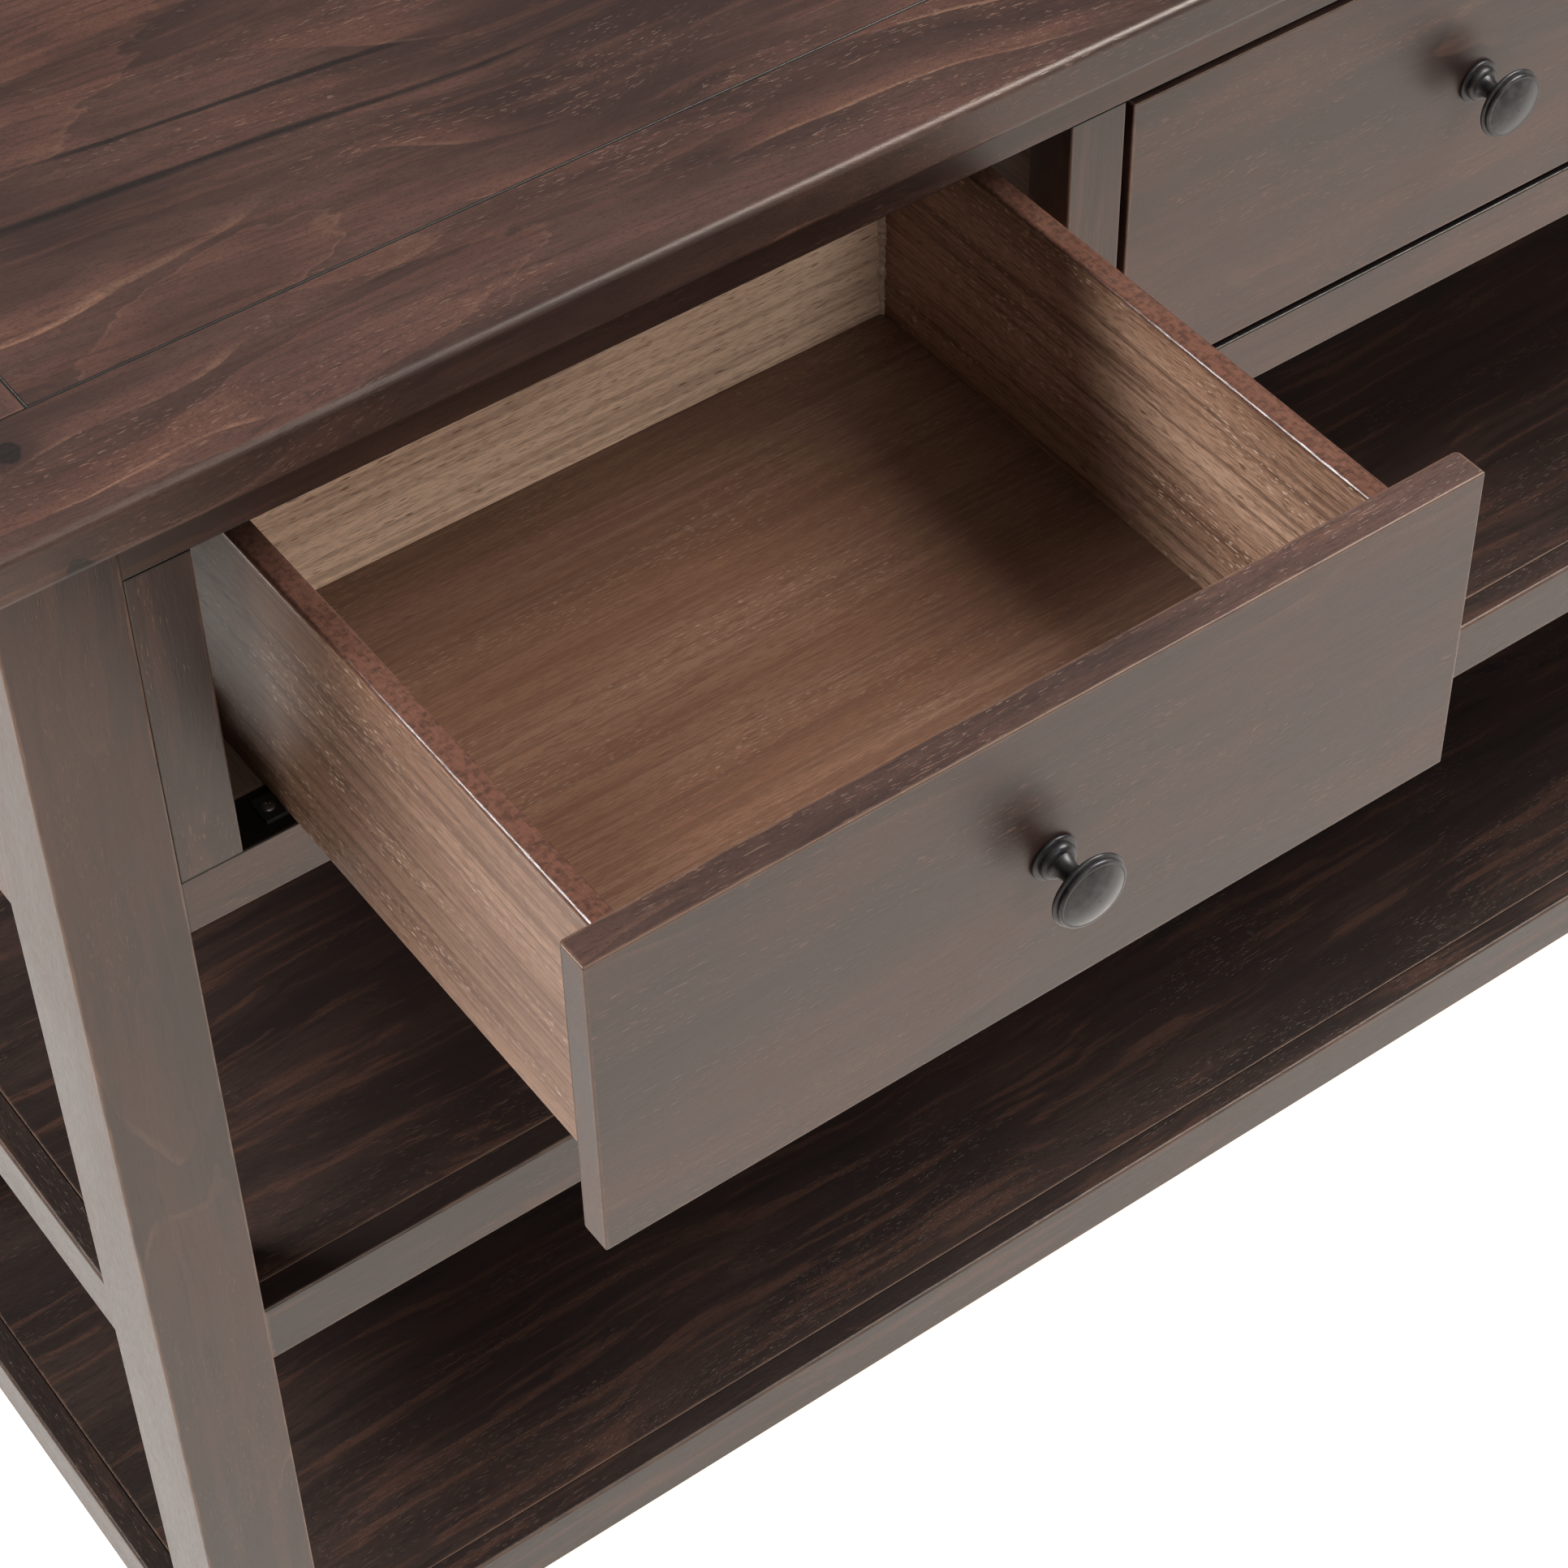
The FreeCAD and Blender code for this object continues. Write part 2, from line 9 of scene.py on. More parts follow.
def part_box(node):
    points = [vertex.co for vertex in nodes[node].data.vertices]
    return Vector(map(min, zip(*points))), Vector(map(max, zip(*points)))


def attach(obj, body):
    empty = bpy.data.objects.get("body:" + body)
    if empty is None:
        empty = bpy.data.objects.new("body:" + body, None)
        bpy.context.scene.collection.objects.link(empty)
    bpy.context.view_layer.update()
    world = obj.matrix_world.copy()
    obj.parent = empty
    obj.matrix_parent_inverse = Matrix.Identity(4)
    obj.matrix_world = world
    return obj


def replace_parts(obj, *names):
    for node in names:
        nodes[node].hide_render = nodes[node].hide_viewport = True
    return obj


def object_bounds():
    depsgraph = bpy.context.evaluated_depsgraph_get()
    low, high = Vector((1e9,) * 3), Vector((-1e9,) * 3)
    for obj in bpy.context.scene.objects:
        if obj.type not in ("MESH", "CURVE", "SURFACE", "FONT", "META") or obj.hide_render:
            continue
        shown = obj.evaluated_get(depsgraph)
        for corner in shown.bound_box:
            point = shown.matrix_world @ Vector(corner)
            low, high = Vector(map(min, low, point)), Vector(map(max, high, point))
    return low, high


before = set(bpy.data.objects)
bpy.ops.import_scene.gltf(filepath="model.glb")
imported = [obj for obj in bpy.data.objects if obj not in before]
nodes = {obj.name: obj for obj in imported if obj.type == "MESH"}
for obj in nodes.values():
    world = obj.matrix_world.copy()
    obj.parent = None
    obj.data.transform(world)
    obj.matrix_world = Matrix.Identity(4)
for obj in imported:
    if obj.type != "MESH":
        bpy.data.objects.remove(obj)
cad_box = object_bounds()
scene = bpy.context.scene


# ---------------------------------------------------------------- legs
# Four square legs of plantation pine, planed, with the corners just eased by hand. They are
# stained dark walnut, wiped so that the soft wood takes more than the hard, and sprayed with
# a satin lacquer. The stain rubs thin and reddish along the corners.

WALNUT_DARK = (0.0190, 0.0110, 0.0098)
WALNUT_MID = (0.0430, 0.0225, 0.0180)
WALNUT_RED = (0.0900, 0.0400, 0.0275)
WALNUT_PALE = (0.1700, 0.0950, 0.0620)
BLACK_OF_MARKS_AND_SHADE = (0.0060, 0.0055, 0.0055)
LACQUER_ROUGHNESS = 0.38
LACQUER_TINT = (1.0, 0.89, 0.78, 1)
LACQUER_SPECULAR = 0.38
GRAIN_RELIEF = 0.00012
TURN_TO_GRAIN = {"x": (0, 0, 0), "y": (0, 0, -math.pi / 2), "z": (0, math.pi / 2, 0)}


class Finish:
    """A finish, put together coat by coat as a node material."""

    def __init__(self, name):
        self.made = bpy.data.materials.new(name)
        self.made.use_nodes = True
        self.tree = self.made.node_tree
        self.shader = self.tree.nodes["Principled BSDF"]

    def add(self, kind, settings=(), **inputs):
        """A shader node. Inputs are by name, or by number as in0, in1 and so on."""
        node = self.tree.nodes.new("ShaderNode" + kind)
        for key, value in dict(settings).items():
            setattr(node, key, value)
        for key, value in inputs.items():
            self.feed(node, key, value)
        return node

    def feed(self, node, socket, value):
        numbered = socket[:2] == "in" and socket[2:].isdigit()
        plug = node.inputs[int(socket[2:]) if numbered else socket.replace("_", " ")]
        if isinstance(value, bpy.types.NodeSocket):
            self.tree.links.new(value, plug)
        elif plug.type == "RGBA":
            plug.default_value = (*value, 1)
        else:
            plug.default_value = value

    def place(self):
        """The point's own place in the frame."""
        return self.add("TexCoord").outputs["Object"]

    def vector(self, operation, first, second=(0, 0, 0)):
        node = self.add("VectorMath", {"operation": operation}, in0=first, in1=second)
        return node.outputs["Value" if operation in ("LENGTH", "DISTANCE", "DOT_PRODUCT")
                            else "Vector"]

    def math(self, operation, first, second=0.0):
        return self.add("Math", {"operation": operation}, in0=first, in1=second).outputs[0]

    def noise(self, spot, waves, detail=2.0, roughness=0.5, distortion=0.0):
        """Noise of so many waves to the metre along X, Y and Z."""
        return self.add("TexNoise", Vector=self.vector("MULTIPLY", spot, waves), Scale=1.0,
                        Detail=detail, Roughness=roughness, Distortion=distortion).outputs[0]

    def between(self, value, low, high, start=0.0, end=1.0):
        """From start to end, smoothly, as the value goes from low to high."""
        flip = low > high
        low, high, start, end = (high, low, end, start) if flip else (low, high, start, end)
        return self.add("MapRange", {"interpolation_type": "SMOOTHSTEP"}, Value=value, in1=low,
                        in2=high, in3=start, in4=end).outputs[0]

    def stain(self, share, under, over):
        """One colour laid over another, by share."""
        node = self.add("Mix", {"data_type": "RGBA"}, in0=share)
        self.feed(node, "in6", under)
        self.feed(node, "in7", over)
        return node.outputs[2]

    def grain_place(self, box, grain, skew, shift):
        """The point's place in its board: length along X, measured from the board's middle."""
        centre = (box[0] + box[1]) / 2
        spot = self.vector("SUBTRACT", self.place(), centre)
        spot = self.add("VectorRotate", {"rotation_type": "EULER_XYZ"}, Vector=spot,
                        Rotation=TURN_TO_GRAIN[grain]).outputs[0]
        spot = self.add("VectorRotate", {"rotation_type": "Z_AXIS"}, Vector=spot,
                        Angle=skew).outputs[0]
        return self.vector("ADD", spot, (shift, 0, 0))

    def corner_nearness(self, box):
        """How far the point is from the nearest long corner of its board, in metres."""
        inside = self.vector("MINIMUM", self.vector("SUBTRACT", self.place(), box[0]),
                             self.vector("SUBTRACT", box[1], self.place()))
        apart = self.add("SeparateXYZ", Vector=inside).outputs
        lesser = self.math("MINIMUM", apart[0], apart[1])
        greater = self.math("MAXIMUM", apart[0], apart[1])
        return self.math("MAXIMUM", lesser, self.math("MINIMUM", greater, apart[2]))

    def relief(self, parts, depth):
        """Bump, so deep in metres, from a sum of (height, share) pairs."""
        total = 0.0
        for height, share in parts:
            total = self.math("ADD", self.math("MULTIPLY", height, share), total)
        bump = self.add("Bump", Height=total, Distance=depth, Strength=1.0)
        self.feed(self.shader, "Normal", bump.outputs[0])


def walnut_pine(node, grain, pith=(0.0, -0.06), ring=0.02, sway=1.0, skew=0.0, shift=0.0,
                figure=0.5, flame=0.4, streaky=0.3, red=0.3, tongues=(), knots=(), streaks=(),
                seams=(), deep_stain_and_shade=0.0, rubbed=0.3):
    """Stained pine for one board. The pith is where the tree's heart runs, across and below the
    board's middle; ring is the width of a year's growth, and sway bends the heart. Figure,
    flame, streaky and red say how strongly the stain shows the arches, torn patches, fine
    lines and warm clouds of the wood. Deep blackens the whole board, which on the shelves is
    partly painted shade, and rubbed bares its corners. Tongues, knots, streaks and seams are the
    board's own marks."""
    wood = Finish("walnut " + node.replace("_", " "))
    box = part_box(node)
    straight = wood.grain_place(box, grain, skew, shift)
    swing = wood.math("SUBTRACT", wood.noise(straight, (3.1, 7, 7), detail=2), 0.5)
    tear = wood.math("SUBTRACT", wood.noise(straight, (34, 90, 90), detail=3), 0.5)
    aside = wood.math("ADD", wood.math("MULTIPLY", swing, 0.05 * sway),
                      wood.math("MULTIPLY", tear, 0.0035))
    spot = wood.vector("ADD", straight, wood.add("CombineXYZ", Y=aside, Z=aside).outputs[0])
    # year rings round the wandering heart, which a flat cut turns into long arches
    drift = [wood.math("SUBTRACT", wood.noise(wood.vector("ADD", spot, (away, 3, 5)), (2.2, 6, 6),
                                              detail=3), 0.5) for away in (0, 9)]
    heart = wood.add("CombineXYZ", Y=wood.math("MULTIPLY", drift[0], 0.13 * sway),
                     Z=wood.math("MULTIPLY", drift[1], 0.13 * sway)).outputs[0]
    across = wood.vector("MULTIPLY", wood.vector("SUBTRACT", spot, (0, *pith)), (0, 1, 1))
    radius = wood.vector("LENGTH", wood.vector("ADD", across, heart))
    year = wood.math("FRACT", wood.math("MULTIPLY", radius, 1 / ring))
    shown = wood.between(wood.noise(spot, (5, 16, 16), detail=2), 0.42, 0.60)
    arch = wood.math("MULTIPLY", wood.between(year, 0.30, 0.97), wood.between(year, 1.0, 0.985))
    arch = wood.math("MULTIPLY", arch, shown)
    rim = wood.math("MULTIPLY", wood.between(year, 0.93, 0.97), wood.between(year, 1.0, 0.985))
    rim = wood.math("MULTIPLY", rim, wood.between(wood.noise(spot, (26, 60, 60)), 0.40, 0.62))
    rim = wood.math("MULTIPLY", rim, shown)
    # clouds of stain, torn patches, fine lines, fibres and short open pores
    cloud = wood.noise(spot, (4, 16, 16), detail=4, roughness=0.6)
    fine = wood.noise(spot, (9, 380, 380), detail=4, roughness=0.72)
    line = wood.noise(wood.vector("ADD", spot, (5, 1, 3)), (5, 130, 130), detail=3, roughness=0.6)
    fibre = wood.noise(spot, (140, 1500, 1500), detail=2, roughness=0.6)
    torn = wood.noise(wood.vector("ADD", spot, (1, 2, 7)), (6, 30, 30), detail=5, roughness=0.62)
    colour = wood.stain(wood.between(cloud, 0.32, 0.66), WALNUT_DARK, WALNUT_MID)
    colour = wood.stain(wood.between(cloud, 0.48, 0.74, 0, red), colour, WALNUT_RED)
    patch = wood.math("MULTIPLY", wood.between(torn, 0.555, 0.60),
                      wood.between(fine, 0.40, 0.60, 0.25, 1.0))
    colour = wood.stain(wood.math("MULTIPLY", patch, flame), colour, WALNUT_RED)
    colour = wood.stain(wood.math("MULTIPLY", arch, figure * 0.55), colour, WALNUT_RED)
    colour = wood.stain(wood.math("MULTIPLY", rim, figure * 0.6), colour, WALNUT_PALE)
    colour = wood.stain(wood.between(line, 0.52, 0.66, 0, streaky), colour, WALNUT_RED)
    colour = wood.stain(wood.between(line, 0.46, 0.33, 0, streaky), colour, WALNUT_DARK)
    colour = wood.stain(wood.between(fine, 0.47, 0.30, 0, 0.5), colour, WALNUT_DARK)
    pore = wood.noise(wood.vector("ADD", spot, (1, 4, 2)), (190, 1500, 1500), detail=0)
    dash = wood.math("MULTIPLY", wood.between(pore, 0.68, 0.76), wood.between(torn, 0.47, 0.58))
    colour = wood.stain(wood.math("MULTIPLY", dash, 0.32), colour, WALNUT_PALE)
    colour = wood.stain(wood.between(fibre, 0.48, 0.28, 0, 0.45), colour, WALNUT_DARK)
    for centre, stretch, turn in tongues:
        # a long arch where the cut runs through one year, torn inside
        off = wood.vector("SUBTRACT", wood.place(), centre)
        off = wood.add("VectorRotate", {"rotation_type": "Z_AXIS"}, Vector=off, Angle=turn).outputs[0]
        off = wood.vector("LENGTH", wood.vector("MULTIPLY", off, stretch))
        off = wood.math("ADD", off, wood.math("MULTIPLY", swing, 1.6))
        off = wood.math("ADD", off, wood.math("MULTIPLY", tear, 0.65))
        inside = wood.math("MULTIPLY", wood.between(off, 1.0, 0.95),
                           wood.between(off, 0.2, 0.95, 0.35, 1.0))
        inside = wood.math("MULTIPLY", inside, wood.between(fine, 0.36, 0.58, 0.3, 1.0))
        edge = wood.math("MULTIPLY", wood.between(off, 1.0, 0.97), wood.between(off, 0.92, 0.97))
        edge = wood.math("MULTIPLY", edge, wood.between(cloud, 0.40, 0.60, 0.15, 1.0))
        colour = wood.stain(wood.math("MULTIPLY", inside, 0.34 * figure), colour, WALNUT_RED)
        colour = wood.stain(wood.math("MULTIPLY", edge, 0.16 * figure), colour, WALNUT_PALE)
    for start, end, width in streaks:
        # a dark mineral streak with frayed sides, which tapers off at both ends
        run = Vector(end) - Vector(start)
        beside = Vector((-run.y, run.x, 0)).normalized()
        level = wood.vector("DOT_PRODUCT", wood.vector("SUBTRACT", wood.place(), start), beside)
        along = wood.vector("DOT_PRODUCT", wood.vector("SUBTRACT", wood.place(), start),
                            run / run.length_squared)
        level = wood.math("ADD", level, wood.math("MULTIPLY", swing, 0.03))
        level = wood.math("ADD", wood.math("ABSOLUTE", level), wood.math("MULTIPLY", line, 0.006))
        share = wood.math("MULTIPLY", wood.between(level, width + 0.003, 0.0035, 0, 0.85),
                          wood.math("MULTIPLY", wood.between(along, -0.1, 0.25),
                                    wood.between(along, 1.1, 0.75)))
        colour = wood.stain(share, colour, BLACK_OF_MARKS_AND_SHADE)
    for centre, size in knots:
        ragged = wood.noise(wood.place(), (160, 160, 160), detail=3)
        off = wood.vector("DISTANCE", wood.place(), centre)
        off = wood.math("ADD", wood.math("MULTIPLY", off, 1 / size),
                        wood.math("MULTIPLY", ragged, 0.9))
        colour = wood.stain(wood.between(off, 3.0, 1.5, 0, 0.55), colour, WALNUT_DARK)
        colour = wood.stain(wood.between(off, 1.45, 1.15, 0, 0.85), colour, BLACK_OF_MARKS_AND_SHADE)
    speck = wood.noise(wood.place(), (900, 900, 900), detail=2)
    colour = wood.stain(wood.between(speck, 0.52, 0.66, 0, 0.35), colour, WALNUT_DARK)
    # Deep blackens the whole board; on the shelves this is partly painted shade.
    colour = wood.stain(deep_stain_and_shade, colour, BLACK_OF_MARKS_AND_SHADE)
    corner = wood.math("ADD", wood.corner_nearness(box),
                       wood.math("MULTIPLY", wood.noise(spot, (60, 200, 200), detail=2), 0.0022))
    colour = wood.stain(wood.between(corner, 0.0026, 0.0014, 0, rubbed), colour, WALNUT_PALE)
    for normal, level in seams:
        # dirt and dark stain lie in the joint with the next board
        gap = wood.math("SUBTRACT", wood.vector("DOT_PRODUCT", wood.place(), normal), level)
        gap = wood.math("ADD", wood.math("ABSOLUTE", gap), wood.math("MULTIPLY", tear, 0.0004))
        colour = wood.stain(wood.between(gap, 0.0012, 0.0005, 0, 0.95), colour, BLACK_OF_MARKS_AND_SHADE)
    wood.feed(wood.shader, "Base_Color", colour)
    rough = wood.math("ADD", wood.between(cloud, 0.3, 0.7, -0.03, 0.04),
                      wood.between(fibre, 0.3, 0.7, -0.03, 0.04))
    wood.feed(wood.shader, "Roughness", wood.math("ADD", rough, LACQUER_ROUGHNESS))
    wood.shader.inputs["Specular IOR Level"].default_value = LACQUER_SPECULAR
    wood.shader.inputs["Specular Tint"].default_value = LACQUER_TINT
    wood.relief([(fibre, 0.35), (fine, 0.5), (dash, -0.5)], GRAIN_RELIEF)
    return wood.made


def paint(node, made):
    """Gives a CAD node its finish."""
    nodes[node].data.materials.clear()
    nodes[node].data.materials.append(made)


ARCH_HALF_WIDTH = 0.012
LEG_ARCHES = [(0.002, 0.50, 0.20), (0.004, 0.90, 0.12)]
LEGS = {"front_left_leg": (0.062, 0.004), "front_right_leg": (0.055, -0.010),
        "back_left_leg": (-0.060, 0.012), "back_right_leg": (-0.052, 0.0)}
for number, (name, heart) in enumerate(LEGS.items()):
    middle = sum(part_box(name), Vector()) / 2
    arches = [((middle.x + side, 0, height), (1 / ARCH_HALF_WIDTH, 0, 1 / half_tall), 0)
              for side, height, half_tall in LEG_ARCHES]
    paint(name, walnut_pine(name, "z", pith=heart, ring=0.015, sway=0.6, shift=1.7 * number,
                            figure=0.5, flame=0.15, streaky=0.3, tongues=arches, deep_stain_and_shade=0.25,
                            rubbed=0.6))


# ---------------------------------------------------------------- glides under the legs
# A turned nylon disc with a softened edge is nailed under each leg. The nail's flat head sits
# in a recess, clear of the floor.

GLIDE_EDGE = 0.0012
RECESS_RADIUS = 0.0042
RECESS_DEEP = 0.0016
RECESS_EDGE = 0.0003
NAIL_RADIUS = 0.0034
NAIL_THICK = 0.0009
TURNING_STEPS = 48
ON_THE_AXIS = 1e-6
SHARP_EDGE = math.radians(35)
NYLON_BLACK = (0.010, 0.010, 0.010)
NYLON_GREY = (0.026, 0.025, 0.024)
ZINC_DARK = (0.34, 0.34, 0.35)
ZINC_LIGHT = (0.56, 0.56, 0.57)


def turned(name, outline, at, made, steps=TURNING_STEPS):
    """A solid turned round an upright axis. The outline is (radius, height), from the axis at one
    end to the axis at the other."""
    mesh = bmesh.new()
    rows = []
    for radius, height in outline:
        if radius < ON_THE_AXIS:
            rows.append([mesh.verts.new((0, 0, height))])
            continue
        turns = [2 * math.pi * step / steps for step in range(steps)]
        rows.append([mesh.verts.new((radius * math.cos(turn), radius * math.sin(turn), height))
                     for turn in turns])
    for low, high in zip(rows, rows[1:]):
        for step in range(steps):
            after = (step + 1) % steps
            if len(low) == 1:
                mesh.faces.new((low[0], high[after], high[step]))
            elif len(high) == 1:
                mesh.faces.new((low[step], low[after], high[0]))
            else:
                mesh.faces.new((low[step], low[after], high[after], high[step]))
    bmesh.ops.recalc_face_normals(mesh, faces=mesh.faces)
    data = bpy.data.meshes.new(name)
    mesh.to_mesh(data)
    mesh.free()
    data.transform(Matrix.Translation(at))
    for face in data.polygons:
        face.use_smooth = True
    data.set_sharp_from_angle(angle=SHARP_EDGE)
    data.materials.append(made)
    piece = bpy.data.objects.new(name, data)
    scene.collection.objects.link(piece)
    return piece


def as_one(name, pieces, body):
    """Loose pieces that share one object, riding on a body."""
    with bpy.context.temp_override(active_object=pieces[0], selected_editable_objects=pieces):
        bpy.ops.object.join()
    pieces[0].name = name
    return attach(pieces[0], body)


nylon = Finish("black nylon")
speckle = nylon.noise(nylon.place(), (500, 500, 500), detail=2)
nylon.feed(nylon.shader, "Base_Color", nylon.stain(speckle, NYLON_BLACK, NYLON_GREY))
nylon.feed(nylon.shader, "Roughness", nylon.between(speckle, 0.3, 0.7, 0.42, 0.56))
nylon.relief([(speckle, 1.0)], 0.00006)

zinc = Finish("zinc plated steel")
brushing = zinc.noise(zinc.place(), (900, 900, 300), detail=3)
zinc.feed(zinc.shader, "Base_Color", zinc.stain(brushing, ZINC_DARK, ZINC_LIGHT))
zinc.feed(zinc.shader, "Roughness", zinc.between(brushing, 0.3, 0.7, 0.26, 0.40))
zinc.shader.inputs["Metallic"].default_value = 1.0
zinc.relief([(brushing, 1.0)], 0.00003)

glide_low, glide_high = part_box("foot_glides")
glide_thick = glide_high.z - glide_low.z
leg_middle = sum(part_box("front_left_leg"), Vector()) / 2
glide_radius = leg_middle.x - glide_low.x
discs, nails = [], []
for name in LEGS:
    foot = sum(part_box(name), Vector()) / 2
    foot.z = glide_low.z
    outline = [(0, RECESS_DEEP), (RECESS_RADIUS, RECESS_DEEP), (RECESS_RADIUS, RECESS_EDGE),
               (RECESS_RADIUS + RECESS_EDGE, 0), (glide_radius - GLIDE_EDGE, 0),
               (glide_radius - GLIDE_EDGE * 0.3, GLIDE_EDGE * 0.3), (glide_radius, GLIDE_EDGE),
               (glide_radius, glide_thick), (0, glide_thick)]
    discs.append(turned(name + "_glide", outline, foot, nylon.made))
    head = [(0, RECESS_DEEP - NAIL_THICK), (NAIL_RADIUS * 0.8, RECESS_DEEP - NAIL_THICK),
            (NAIL_RADIUS, RECESS_DEEP - NAIL_THICK * 0.5), (NAIL_RADIUS, RECESS_DEEP),
            (0, RECESS_DEEP)]
    nails.append(turned(name + "_nail", head, foot, zinc.made))
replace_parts(as_one("turned_glides", discs, "cabinet"), "foot_glides")
as_one("glide_nails", nails, "cabinet")


# ---------------------------------------------------------------- face frame
# Two rails run between the front legs and four stiles stand between them, all glued and
# planed flush, one millimetre behind the legs. A dark spot of stain marks a nick in the bay rail's edge.

FACE_FRAME = {"front_top_rail": ("x", (-0.05, -0.02)), "front_bay_rail": ("x", (0.05, 0.01)),
              "left_stile": ("z", (0.05, 0.01)), "left_middle_stile": ("z", (-0.04, 0.02)),
              "right_middle_stile": ("z", (0.06, 0.0)), "right_stile": ("z", (-0.05, 0.01))}
NICK = ((-0.0663, -0.2090, 0.7050), 0.0016)
LEG_JOINTS = [((1, 0, 0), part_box("left_stile")[0].x), ((1, 0, 0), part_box("right_stile")[1].x)]
STILE_JOINTS = [((0, 0, 1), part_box("left_stile")[0].z), ((0, 0, 1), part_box("left_stile")[1].z)]
for number, (name, (grain, heart)) in enumerate(FACE_FRAME.items()):
    paint(name, walnut_pine(name, grain, pith=heart, ring=0.02, sway=0.6, shift=0.9 * number + 3,
                            figure=0.2, flame=0.1, rubbed=0.2,
                            knots=[NICK] if name == "front_bay_rail" else [],
                            seams=LEG_JOINTS + STILE_JOINTS))


# ---------------------------------------------------------------- aprons and dividers
# Flat boards close the sides and the back of the drawer case. Inside, a divider stands
# between one bay and the next, and glue blocks stiffen the corners. Nobody sees the inside,
# so there the wood has only a thin wash of stain.

for number, (name, grain) in enumerate([("left_apron", "y"), ("right_apron", "y"),
                                        ("back_apron", "x")]):
    paint(name, walnut_pine(name, grain, pith=(0.07, 0.02) if grain == "x" else (0.06, 0.03),
                            shift=2.3 * number, flame=0.2))

WASH_PALE = (0.235, 0.150, 0.098)
WASH_BROWN = (0.125, 0.070, 0.044)


def washed_pine(node, grain, shift=0.0):
    """Pine with one thin coat of stain, left from the saw and not lacquered."""
    wood = Finish("washed " + node.replace("_", " "))
    spot = wood.grain_place(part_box(node), grain, 0.0, shift)
    band = wood.noise(spot, (3, 60, 60), detail=3)
    saw = wood.noise(spot, (140, 12, 12), detail=1)
    fibre = wood.noise(spot, (60, 1300, 1300), detail=2)
    colour = wood.stain(wood.between(band, 0.3, 0.7), WASH_BROWN, WASH_PALE)
    colour = wood.stain(wood.between(fibre, 0.4, 0.7, 0, 0.5), colour, WASH_BROWN)
    wood.feed(wood.shader, "Base_Color", colour)
    wood.feed(wood.shader, "Roughness", wood.between(fibre, 0.3, 0.7, 0.62, 0.78))
    wood.relief([(fibre, 0.5), (saw, 0.5)], 0.0002)
    return wood.made


for number, name in enumerate(["left_divider", "right_divider"]):
    paint(name, washed_pine(name, "y", shift=number))
paint("glue_blocks", washed_pine("glue_blocks", "z"))


# ---------------------------------------------------------------- shelves
# Each shelf is a wide glued board dropped in behind four rabbeted rails, which leaves a fine
# dark line all round. The stain is laid on heavier than on the legs, with more of the fine
# lines showing, and wears thin along the corners. Part of that heavier darkening is painted
# shade, for the deep shade the shelves lie in under the drawer case.

for level, shelf in enumerate(["middle_shelf", "bottom_shelf"]):
    for number, (part, grain) in enumerate([("front_rail", "x"), ("back_rail", "x"),
                                            ("end_rails", "y"), ("panel", "x")]):
        name = f"{shelf}_{part}"
        # The deep darkening here is partly painted shade, for the shade under the drawer case.
        paint(name, walnut_pine(name, grain, pith=(0.02, -0.09) if part == "panel" else (0, -0.05),
                                shift=1.3 * number + 0.4 + 5 * level, figure=0.15, flame=0.10,
                                streaky=0.9, red=0.15, deep_stain_and_shade=0.45, rubbed=0.35))


# ---------------------------------------------------------------- what the drawers run on
# Runners, guides, kickers and stops are plain pine, and the guides are screwed on. On the bay
# rail a black nylon glide lies under each drawer side, held by one cross-slotted screw.

for number, bay in enumerate(["left", "centre", "right"]):
    paint(f"{bay}_bay_runners", washed_pine(f"{bay}_bay_runners", "y", shift=number))
for number, name in enumerate(["drawer_guides", "drawer_kickers", "drawer_stops"]):
    paint(name, washed_pine(name, "y", shift=number + 4))
paint("drawer_glides", nylon.made)
paint("guide_screws", zinc.made)

SCREW_HEAD = 0.0028
SCREW_HEAD_TALL = 0.0008
SLOT_LONG = 0.0030
SLOT_WIDE = 0.0006
SLOT_DEEP = 0.0005
SLOT_TURN = 0.3
SCREW_STEPS = 32
SHANK_RADIUS = SCREW_HEAD * 0.5
SHANK_LONG = 0.0015
GLIDE_OUTSIDE = 0.0045
glide_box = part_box("drawer_glides")
screws = []
for bay in ["left", "centre", "right"]:
    for hand, face in (("left", 0), ("right", 1)):
        side_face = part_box(f"{bay}_drawer_{hand}_side")[face].x
        x = side_face + (GLIDE_OUTSIDE if face else -GLIDE_OUTSIDE)
        middle = Vector((x, (glide_box[0].y + glide_box[1].y) / 2, glide_box[1].z))
        dome = [(0, -SHANK_LONG), (SHANK_RADIUS, -SHANK_LONG), (SHANK_RADIUS, 0), (SCREW_HEAD, 0),
                (SCREW_HEAD, SCREW_HEAD_TALL * 0.35), (SCREW_HEAD * 0.85, SCREW_HEAD_TALL * 0.75),
                (SCREW_HEAD * 0.5, SCREW_HEAD_TALL * 0.97), (0, SCREW_HEAD_TALL)]
        screw = turned(f"{bay}_{hand}_glide_screw", dome, middle, zinc.made,
                       steps=SCREW_STEPS)
        for quarter in (SLOT_TURN, SLOT_TURN + math.pi / 2):
            on_top = middle + Vector((0, 0, SCREW_HEAD_TALL))
            bpy.ops.mesh.primitive_cube_add(size=1, location=on_top)
            cutter = bpy.context.object
            cutter.scale = (SLOT_LONG, SLOT_WIDE, 2 * SLOT_DEEP)
            cutter.rotation_euler.z = quarter
            cut = screw.modifiers.new("slot", "BOOLEAN")
            cut.operation = "DIFFERENCE"
            cut.object = cutter
            with bpy.context.temp_override(object=screw, active_object=screw):
                bpy.ops.object.modifier_apply(modifier=cut.name)
            bpy.data.objects.remove(cutter)
        screws.append(screw)
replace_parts(as_one("slotted_glide_screws", screws, "cabinet"), "glide_screws")


# ---------------------------------------------------------------- worktop
# One wide field board lies between border boards at the front and the back and cross boards
# at the ends, glued edge to edge, with a fine V along each joint and the outer edges rounded
# over. A dark mineral streak runs through the field, and the front board has a black knot.

